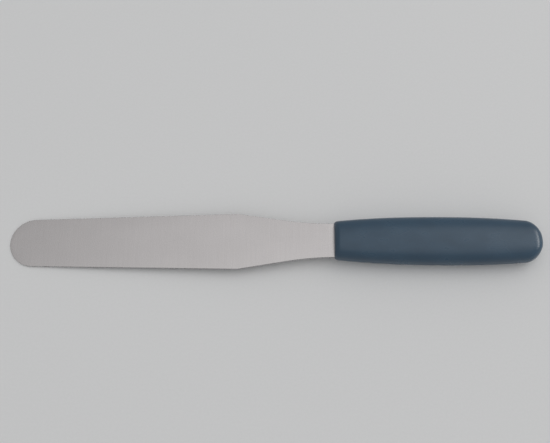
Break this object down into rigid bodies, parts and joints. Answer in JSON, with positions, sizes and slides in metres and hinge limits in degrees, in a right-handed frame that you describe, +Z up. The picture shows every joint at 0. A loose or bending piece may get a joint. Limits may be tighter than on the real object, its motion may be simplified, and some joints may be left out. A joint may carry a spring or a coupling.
{
  "type": "flexible putty knife",
  "caption": "Long round-ended spring-steel spreading blade, necked and shouldered, in a plain moulded plastic handle, lying at rest.",
  "frame": {"origin": "centre of the footprint, on the surface that the knife lies on", "axes": "+X along the knife from the blade's tip to the handle's butt, +Y across the blade, +Z up from the surface"},
  "size_m": [0.3274, 0.0354, 0.018],
  "materials": {
    "blade_steel": "stainless spring steel, ground and finely brushed to an even satin, with a narrow ground band along the edge",
    "core_plastic": "plain unpigmented moulding, as it comes out of the tool",
    "grip_plastic": "dark slate-coloured moulded plastic with a fine satin texture"
  },
  "bodies": {
    "handle": {"handle_core": "core_plastic", "handle_grip": "grip_plastic"},
    "blade": {"blade": "blade_steel"}
  },
  "joints": [
    {"name": "blade_flex", "type": "hinge", "parent": "handle", "child": "blade", "pos_m": [0.03625, 0, 0.009], "axis": [0, 1, 0], "range_deg": [-30, 30], "stiffness_Nm_per_rad": 7.86, "deforming": ["blade"]}
  ]
}
